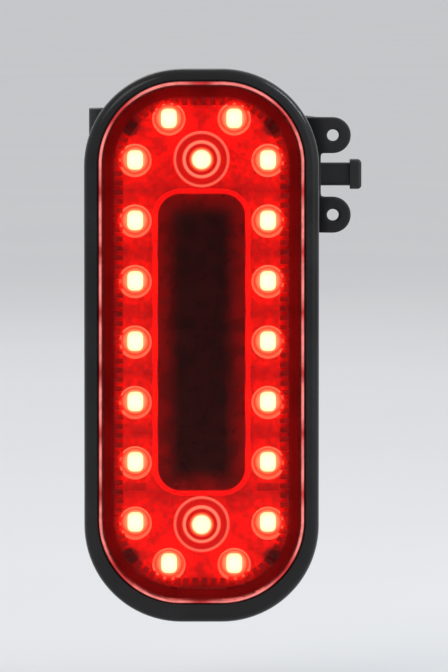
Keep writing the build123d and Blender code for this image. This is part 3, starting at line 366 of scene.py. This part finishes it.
def reflector_look():
    """Red plastic with a painted glow round each light; painted shade keeps its flutes, notches and corners
    darker, and a painted highlight brightens its lip.
    """
    graph = Graph("reflector_red")
    small, large = light_distances(graph)
    depth = graph.axes()["Y"]
    # Painted shade: depth darkens the glow only away from the pockets of the lights
    sunk = graph.span(depth, PLATE_FACE + 0.1 * MM, PLATE_FACE + FLUTE_DEPTH, 1.0, 0.36)
    apart = graph.math(
        "MULTIPLY", graph.span(small, *SMALL_POCKET_RIM), graph.span(large, *LARGE_POCKET_RIM)
    )
    shade = graph.math("ADD", graph.math("MULTIPLY", sunk, apart), graph.math("SUBTRACT", 1.0, apart))
    # Painted highlight: the glow is brighter on the lip round the window
    lip = graph.span(depth, PLATE_FACE - 0.6 * MM, PLATE_FACE - 0.2 * MM, 2.6, 1.0)
    # Painted shade: a darker spot over the boss behind each corner
    boss = distance_to(graph, *off_middle(graph), BOSS_X, BOSS_Z)
    behind = graph.span(boss, *BOSS_SPOT, 0.12, 1.0)
    # The painted glow is patchy at random
    mottle = graph.span(graph.noise(1.1 * MM, 4.0), 0.3, 0.72, 0.68, 1.2)
    grain = graph.noise(0.5 * MM, 3.0)
    return graph.finish(graph.surface(
        Base_Color=graph.mix(grain, RED_PLASTIC, dimmed(RED_PLASTIC, 0.7)),
        Roughness=graph.span(grain, 0.2, 0.8, 0.22, 0.38),
        Specular_IOR_Level=0.35,
        Normal=graph.bump(grain, 0.02 * MM),
        Emission_Color=painted_glow_between(graph, small, large),
        Emission_Strength=graph.math(
            "MULTIPLY", graph.math("MULTIPLY", shade, lip), graph.math("MULTIPLY", behind, mottle)
        ),
    ))


def led_board_look():
    """White solder mask with a painted red and orange glow round the lights."""
    graph = Graph("led_board_white")
    small, large = light_distances(graph)
    specks = graph.noise(0.7 * MM, 3.0)
    return graph.finish(graph.surface(
        Base_Color=graph.mix(specks, WHITE_MASK, dimmed(WHITE_MASK, 0.8)),
        Roughness=graph.span(specks, 0.3, 0.7, 0.3, 0.45),
        Emission_Color=painted_glow_between(graph, small, large),
        Emission_Strength=graph.span(specks, 0.3, 0.7, 1.1, 1.6),
    ))


def led_look():
    """Lit resin: pale yellow in the middle, orange at its sides."""
    graph = Graph("led_lit")
    small, large = light_distances(graph)
    nearest = graph.math("MINIMUM", small, large)
    colour = graph.ramp(graph.math("DIVIDE", nearest, RESIN_RADIUS), [
        (0.0, (1.0, 1.0, 0.74)),
        (0.62, (1.0, 1.0, 0.62)),
        (0.85, (1.0, 0.85, 0.42)),
        (1.0, (1.0, 0.62, 0.25)),
    ])
    return graph.finish(graph.surface(
        Base_Color=(0.8, 0.65, 0.3),
        Roughness=graph.span(graph.noise(0.4 * MM), 0.3, 0.7, 0.2, 0.35),
        Emission_Color=colour,
        Emission_Strength=graph.span(nearest, *RESIN_CORE, 3.0, 2.0),
    ))


def collimator_look():
    """Clear stepped lens over a large light, with a painted glow: the light's pale core, and a painted
    bright line at each step.
    """
    graph = Graph("collimator_clear")
    large = light_distances(graph)[1]
    glow = graph.ramp(graph.math("DIVIDE", large, COLLIMATOR_RADIUS), [
        (0.0, (1.0, 1.0, 0.72)),
        (0.28, (1.0, 1.0, 0.60)),
        (0.36, (1.0, 0.28, 0.10)),
        (0.44, (0.42, 0.004, 0.002)),
        (0.53, (0.36, 0.003, 0.002)),
        (0.57, (1.0, 0.42, 0.28)),
        (0.63, (1.0, 0.42, 0.28)),
        (0.68, (0.42, 0.004, 0.002)),
        (0.86, (0.34, 0.003, 0.002)),
        (0.91, (0.85, 0.26, 0.18)),
        (0.97, (0.85, 0.26, 0.18)),
    ])
    return graph.finish(graph.surface(
        Base_Color=(0.30, 0.012, 0.012),
        Roughness=graph.span(graph.noise(0.8 * MM), 0.3, 0.7, 0.05, 0.12),
        Specular_IOR_Level=0.3,
        Emission_Color=glow,
        Emission_Strength=graph.span(large, *LARGE_CORE, 3.0, 1.2),
    ))


def light_pipe_look():
    """Clear plastic over the status light, with a painted dim red glow from it."""
    graph = Graph("light_pipe_clear")
    streaks = graph.noise(0.3 * MM, 3.0)
    return graph.finish(graph.surface(
        Base_Color=graph.mix(streaks, CLEAR_PLASTIC, dimmed(CLEAR_PLASTIC, 0.8)),
        Roughness=graph.span(streaks, 0.3, 0.7, 0.08, 0.2),
        Emission_Color=(1.0, 0.03, 0.02),
        Emission_Strength=graph.span(streaks, 0.3, 0.7, 0.5, 0.8),
    ))


def lens_look():
    """Clear red cover: what is behind it shows through; its ground edge has a painted glow from the lights,
    with a band of painted shade inside it.
    """
    graph = Graph("lens_red")
    smears = graph.noise(7 * MM, 5.0)
    clear = graph.node("BsdfTransparent")
    graph.put(clear.inputs["Color"], CLEAR_RED)
    gloss = graph.node("BsdfGlossy")
    graph.put(gloss.inputs["Roughness"], graph.span(smears, 0.35, 0.7, 0.03, 0.10))
    graph.put(gloss.inputs["Normal"], graph.bump(graph.noise(5 * MM), 0.004 * MM))
    # Only the outer faces shine
    fresnel = graph.node("Fresnel")
    graph.put(fresnel.inputs["IOR"], 1.20)
    front = graph.math("SUBTRACT", 1.0, graph.node("NewGeometry").outputs["Backfacing"])
    shine = graph.math("MULTIPLY", fresnel.outputs[0], front)
    window = graph.blend(shine, clear.outputs[0], gloss.outputs[0])

    depth = edge_depth(graph, LENS_HALF_WIDTH, LENS_HALF_HEIGHT, LENS_CORNER)
    # Painted shade, with a faint painted red glow, in a band inside the ground edge
    painted_edge_shade = graph.surface(
        Base_Color=(0.05, 0.001, 0.001),
        Roughness=0.5,
        Specular_IOR_Level=0.0,
        Emission_Color=(0.11, 0.001, 0.001),
        Emission_Strength=graph.span(smears, 0.3, 0.7, 0.7, 1.3),
    )
    in_painted_edge_shade = graph.math("MULTIPLY", graph.band(depth, EDGE_SHADE_OUTSIDE, EDGE_SHADE_INSIDE), EDGE_SHADE_SHARE)
    # Painted glow on the ground edge, pinker near the lights
    near = graph.span(light_distances(graph)[0], *EDGE_GLOW, 1.0, 0.0)
    ground = graph.surface(
        Base_Color=(0.20, 0.01, 0.01),
        Roughness=graph.span(smears, 0.3, 0.7, 0.25, 0.4),
        Specular_IOR_Level=0.2,
        Emission_Color=graph.mix(near, RIM_RED, RIM_PINK),
        Emission_Strength=graph.span(graph.noise(1.6 * MM, 3.0), 0.35, 0.65, 0.75, 1.15),
    )
    on_ground = graph.band(depth, GROUND_OUTSIDE, GROUND_INSIDE)
    return graph.finish(graph.blend(on_ground, graph.blend(in_painted_edge_shade, window, painted_edge_shade), ground))


def window_look():
    """Near-black polished window, with a painted red glow at its sides from the lights near it."""
    graph = Graph("radar_window")
    depth = edge_depth(graph, WINDOW_HALF_WIDTH, WINDOW_HALF_HEIGHT, WINDOW_CORNER)
    # Painted red glow, strongest at the window's edge
    lit = graph.span(depth, 0.0, WINDOW_GLOW, 0.17, 0.008)
    specks = graph.noise(2.2 * MM, 5.0)
    return graph.finish(graph.surface(
        Base_Color=graph.mix(graph.span(specks, 0.4, 0.7), WINDOW_RED, dimmed(WINDOW_RED, 1.8)),
        Roughness=graph.span(specks, 0.3, 0.7, 0.10, 0.2),
        Specular_IOR_Level=0.1,
        Emission_Color=(1.0, 0.004, 0.006),
        Emission_Strength=graph.math("MULTIPLY", lit, graph.span(specks, 0.3, 0.7, 0.6, 1.2)),
    ))


def vent_look():
    """Porous membrane with a fine fibrous face, pressed smooth and darker where it is welded."""
    graph = Graph("membrane_pale")
    place = graph.axes()
    off_axis = length_of(graph, graph.math("ABSOLUTE", place["X"]), graph.math("ABSOLUTE", place["Z"]))
    weld = graph.band(off_axis, WELD_INSIDE, WELD_OUTSIDE)
    fibres = graph.noise(0.14 * MM, 4.0)
    felted = graph.mix(graph.span(fibres, 0.35, 0.65), dimmed(MEMBRANE, 0.8), MEMBRANE)
    return graph.finish(graph.surface(
        Base_Color=graph.mix(weld, felted, dimmed(MEMBRANE, 0.45)),
        Roughness=graph.span(weld, 0.0, 1.0, 0.85, 0.35),
        Normal=graph.bump(fibres, 0.06 * MM),
    ))


def board_look():
    """Solder mask over fine copper tracks."""
    graph = Graph("solder_mask")
    tracks = graph.node("TexBrick")
    graph.put(tracks.inputs["Vector"], graph.place)
    for name, value in (
        ("Scale", 1.0), ("Mortar Size", 0.15 * MM), ("Brick Width", 3.1 * MM), ("Row Height", 0.9 * MM),
        ("Color1", SOLDER_MASK), ("Color2", dimmed(SOLDER_MASK, 1.3)), ("Mortar", dimmed(SOLDER_MASK, 2.2)),
    ):
        graph.put(tracks.inputs[name], value)
    return graph.finish(graph.surface(
        Base_Color=tracks.outputs["Color"],
        Roughness=graph.span(graph.noise(1 * MM, 4.0), 0.3, 0.7, 0.25, 0.4),
        Normal=graph.bump(tracks.outputs["Fac"], 0.02 * MM),
    ))


looks = {
    "housing_plastic": moulded(
        "housing_black", BLACK_PLASTIC, roughness=0.42, depth=0.012 * MM, dust=0.04, shine=0.3
    ),
    "frame_plastic": moulded(
        "frame_black", BLACK_PLASTIC, roughness=0.22, depth=0.002 * MM, dust=0.03, shine=0.3
    ),
    "bracket_plastic": moulded("nylon_black", BLACK_NYLON, roughness=0.5, grain=0.35 * MM, depth=0.012 * MM),
    "button_plastic": moulded("button_black", BLACK_NYLON, roughness=0.36, grain=0.2 * MM),
    "strap_rubber": moulded("silicone_black", BLACK_RUBBER, roughness=0.62, grain=0.18 * MM, dust=0.06),
    "cover_rubber": moulded("cover_black", BLACK_RUBBER, roughness=0.58, grain=0.18 * MM, dust=0.05),
    "seal_rubber": moulded("seal_grey", SILICONE_GREY, roughness=0.6),
    "foam": moulded("foam_black", SILICONE_GREY, roughness=0.9, grain=0.5 * MM, depth=0.1 * MM),
    "chip_plastic": moulded("chip_black", BLACK_NYLON, roughness=0.55, grain=0.15 * MM),
    "pale_plastic": moulded("nylon_natural", NATURAL_NYLON, roughness=0.4),
    "inner_plastic": moulded("tray_grey", SILICONE_GREY, roughness=0.5),
    "lead_rubber": moulded("lead_red", RED_LEAD, roughness=0.45),
    "vent_fabric": vent_look(),
    "shield_steel": metal("tinned_sheet", STEEL, roughness=0.32),
    "fastener_steel": metal("screw_steel", STEEL, roughness=0.28, stretch=(3.0, 3.0, 3.0)),
    "spring_steel": metal("spring_steel", STEEL, roughness=0.25),
    "copper": metal("copper_foil", COPPER, roughness=0.35),
    "battery_foil": metal("pouch_foil", FOIL, roughness=0.38, stretch=(6.0, 6.0, 6.0)),
    "board": board_look(),
    "reflector_plastic": reflector_look(),
    "led_resin": led_look(),
    "clear_plastic": collimator_look(),
    "lens_plastic": lens_look(),
    "window_plastic": window_look(),
}
# Two nodes look unlike the others that share their slots
own_looks = {"led_board": led_board_look(), "light_pipe": light_pipe_look()}
slots = {row["node"]: row["material_slot"] for row in frame["record"]["subparts"]}
for node, piece in frame["nodes"].items():
    for material_slot in piece.material_slots:
        material_slot.material = own_looks.get(node, looks[slots[node]])


def stand_in(piece, body, node):
    """Put a piece that stands for a CAD node into the scene, with the finish of its slot."""
    bpy.context.scene.collection.objects.link(piece)
    piece.data.materials.clear()
    piece.data.materials.append(looks[slots[node]])
    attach(piece, body)
    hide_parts(node)
    return piece


def copy_of(node, body):
    """A copy of a CAD node that stands for it."""
    return stand_in(bpy.data.objects.new(node + "_moulded", frame["nodes"][node].data.copy()), body, node)


def moulded_rubber(node, body, voxel, passes, kept):
    """A rubber CAD node with the rounded edges of a moulding."""
    piece = copy_of(node, body)
    remesh = piece.modifiers.new("remesh", "REMESH")
    remesh.mode = "VOXEL"
    remesh.voxel_size = voxel
    remesh.use_smooth_shade = True
    smooth = piece.modifiers.new("smooth", "SMOOTH")
    smooth.factor = 0.5
    smooth.iterations = passes
    piece.modifiers.new("fewer", "DECIMATE").ratio = kept
    piece.modifiers.new("even", "WEIGHTED_NORMAL")


def broken_edges(node, body, radius):
    """A thin soft CAD node whose edges are broken a little."""
    piece = copy_of(node, body)
    mesh = bmesh.new()
    mesh.from_mesh(piece.data)
    bmesh.ops.remove_doubles(mesh, verts=mesh.verts, dist=0.001 * MM)
    bmesh.ops.dissolve_limit(mesh, angle_limit=radians(1.0), verts=mesh.verts, edges=mesh.edges)
    mesh.to_mesh(piece.data)
    mesh.free()
    round_edges = piece.modifiers.new("round_edges", "BEVEL")
    round_edges.width = radius
    round_edges.segments = 2
    round_edges.angle_limit = radians(35)


moulded_rubber("strap", "bracket", voxel=0.15 * MM, passes=30, kept=0.08)
moulded_rubber("post_pad", "bracket", voxel=0.15 * MM, passes=30, kept=0.08)
moulded_rubber("usb_cover", "usb_cover", voxel=0.08 * MM, passes=14, kept=0.16)
moulded_rubber("cover_anchor", "light_unit", voxel=0.08 * MM, passes=14, kept=0.2)
for node in ("lens_seal", "case_gasket", "button_seal", "battery_foam", "battery_leads"):
    broken_edges(node, "light_unit", radius=0.08 * MM)


def object_of(mesh, name):
    """An object with the faces of a bmesh, shaded smooth."""
    bmesh.ops.recalc_face_normals(mesh, faces=mesh.faces)
    data = bpy.data.meshes.new(name)
    mesh.to_mesh(data)
    mesh.free()
    data.shade_smooth()
    return bpy.data.objects.new(name, data)


# Neck of the socket's cover: its size and the rings along it, and the cover's outer face where it crosses
# the hinge
NECK_REACH = 1.2 * MM
NECK_WIDTH = 4.0 * MM
NECK_DEPTH = 0.08 * MM
NECK_THICKNESS = 0.4 * MM
NECK_ROUND = 0.15 * MM
NECK_STEPS = 24
FACE_HEIGHT = -79.382 * MM
FACE_SLOPE_X = -0.156
FACE_SLOPE_Y = 0.0797


def cover_neck():
    """Rubber neck that joins the socket's cover to its anchor."""
    cover_low, cover_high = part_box("usb_cover")
    anchor_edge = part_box("cover_anchor")[1].x
    hinge = Vector(((anchor_edge + cover_low.x) / 2, (cover_low.y + cover_high.y) / 2, FACE_HEIGHT))
    # Its section is a flat bar with rounded corners, as points across it and below the face
    across = NECK_WIDTH / 2 - NECK_ROUND
    below = NECK_THICKNESS / 2 - NECK_ROUND
    section = []
    for side, end, start_turn in ((1, 1, 0), (-1, 1, 90), (-1, -1, 180), (1, -1, 270)):
        for turn in (radians(start_turn + step) for step in (0, 22.5, 45, 67.5, 90)):
            y = side * across + NECK_ROUND * cos(turn)
            section.append((y, NECK_DEPTH + NECK_THICKNESS / 2 + end * below + NECK_ROUND * sin(turn)))
    mesh = bmesh.new()
    rings = []
    for step in range(NECK_STEPS + 1):
        x = NECK_REACH * (2 * step / NECK_STEPS - 1)
        rings.append([
            mesh.verts.new(hinge + Vector((x, y, depth + FACE_SLOPE_X * x + FACE_SLOPE_Y * y)))
            for y, depth in section
        ])
    for ring, after in zip(rings, rings[1:]):
        for index in range(len(section)):
            following = (index + 1) % len(section)
            mesh.faces.new((ring[index], ring[following], after[following], after[index]))
    mesh.faces.new(rings[0])
    mesh.faces.new(rings[-1])
    neck = object_of(mesh, "cover_neck")
    neck.data.materials.append(looks["cover_rubber"])
    bpy.context.scene.collection.objects.link(neck)
    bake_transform(neck)


cover_neck()

# Breather membrane: a thin disc, domed a little inside the ring where it is welded to the housing.
# Its half section is in millimetres, as (radius, height) points
TURNED_STEPS = 96
VENT_SECTION = (
    (0, 0.30), (0.7, 0.295), (1.4, 0.27), (1.9, 0.235), (2.15, 0.225), (2.3, 0.25), (2.42, 0.32),
    (2.55, 0.35), (2.72, 0.345), (2.85, 0.30), (2.95, 0.22), (3.0, 0.12), (3.0, 0), (0, 0),
)


def turned(name, profile, place, body, node):
    """A round piece turned about +Y from a closed half section of (radius, height) points."""
    mesh = bmesh.new()
    rings = []
    for radius, height in profile:
        if radius:
            rings.append([
                mesh.verts.new((radius * cos(turn), height, radius * sin(turn)))
                for turn in (radians(360) * step / TURNED_STEPS for step in range(TURNED_STEPS))
            ])
        else:
            rings.append([mesh.verts.new((0, height, 0))] * TURNED_STEPS)
    for lower, upper in zip(rings, rings[1:]):
        for step in range(TURNED_STEPS):
            after = (step + 1) % TURNED_STEPS
            corners = dict.fromkeys((lower[step], upper[step], upper[after], lower[after]))
            mesh.faces.new(list(corners))
    piece = object_of(mesh, name)
    piece.data.set_sharp_from_angle(angle=radians(40))
    piece.location = place
    stand_in(piece, body, node)


vent_low, vent_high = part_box("vent_membrane")
vent_place = ((vent_low.x + vent_high.x) / 2, vent_low.y, (vent_low.z + vent_high.z) / 2)
turned(
    "vent_membrane_welded", [(radius * MM, height * MM) for radius, height in VENT_SECTION],
    vent_place, "light_unit", "vent_membrane",
)

# Floor, far enough below the light for the socket's cover to swing open
FLOOR_HALF = 20.0
COVER_SWEEP = 14.0 * MM
FLOOR_PALE = (0.78, 0.78, 0.79)
FLOOR_PALER = (0.82, 0.82, 0.82)
floor_height = cad_box[0].z - COVER_SWEEP
floor_mesh = bpy.data.meshes.new("floor")
floor_mesh.from_pydata(
    [(x * FLOOR_HALF, y * FLOOR_HALF, floor_height) for x, y in ((-1, -1), (1, -1), (1, 1), (-1, 1))],
    [], [(0, 1, 2, 3)],
)
floor = bpy.data.objects.new("floor", floor_mesh)
bpy.context.scene.collection.objects.link(floor)
floor_graph = Graph("floor_pale")
floor_mesh.materials.append(floor_graph.finish(floor_graph.surface(
    Base_Color=floor_graph.mix(floor_graph.noise(0.12, 3.0), FLOOR_PALE, FLOOR_PALER),
    Roughness=0.8,
)))

# World and lamps
WORLD_COLOUR = (0.95, 0.96, 0.98, 1.0)
WORLD_STRENGTH = 0.72
WHITE = (1.0, 1.0, 1.0)
COOL_WHITE = (0.84, 0.92, 1.0)
world = bpy.data.worlds.new("studio")
bpy.context.scene.world = world
world.use_nodes = True
background = world.node_tree.nodes["Background"]
background.inputs["Color"].default_value = WORLD_COLOUR
background.inputs["Strength"].default_value = WORLD_STRENGTH


def softbox(name, place, size, power, colour=WHITE):
    """Rectangular lamp that looks at the object."""
    lamp = bpy.data.lights.new(name, "AREA")
    lamp.shape = "RECTANGLE"
    lamp.size, lamp.size_y = size
    lamp.energy = power
    lamp.color = colour
    held = bpy.data.objects.new(name, lamp)
    held.location = place
    held.rotation_mode = "QUATERNION"
    held.rotation_quaternion = (LENS_MIDDLE - Vector(place)).to_track_quat("-Z", "Y")
    bpy.context.scene.collection.objects.link(held)


softbox("key", (-0.6, -0.8, 0.75), (0.6, 0.6), 2.2)
softbox("fill", (0.9, -0.6, 0.25), (0.7, 0.7), 0.9)
softbox("edge", (0.5, -0.03, 0.47), (0.05, 0.35), 1.8, COOL_WHITE)
softbox("back", (-0.3, 0.9, 0.6), (0.6, 0.6), 1.2)

# Camera, straight behind the bicycle and a little above the light
CLIP_NEAR = 0.01
CLIP_FAR = 60.0
camera = bpy.data.objects.new("camera", bpy.data.cameras.new("camera"))
bpy.context.scene.collection.objects.link(camera)
bpy.context.scene.camera = camera
target = (cad_box[0] + cad_box[1]) / 2
toward = Vector((0, -cos(VIEW_ELEVATION), sin(VIEW_ELEVATION)))
camera.location = target + toward * VIEW_DISTANCE
camera.rotation_mode = "QUATERNION"
camera.rotation_quaternion = (-toward).to_track_quat("-Z", "Y")
camera.data.sensor_width = SENSOR
camera.data.lens = SENSOR * VIEW_DISTANCE / FRAME_HEIGHT
camera.data.clip_start = CLIP_NEAR
camera.data.clip_end = CLIP_FAR
bpy.context.scene.view_settings.view_transform = "Standard"
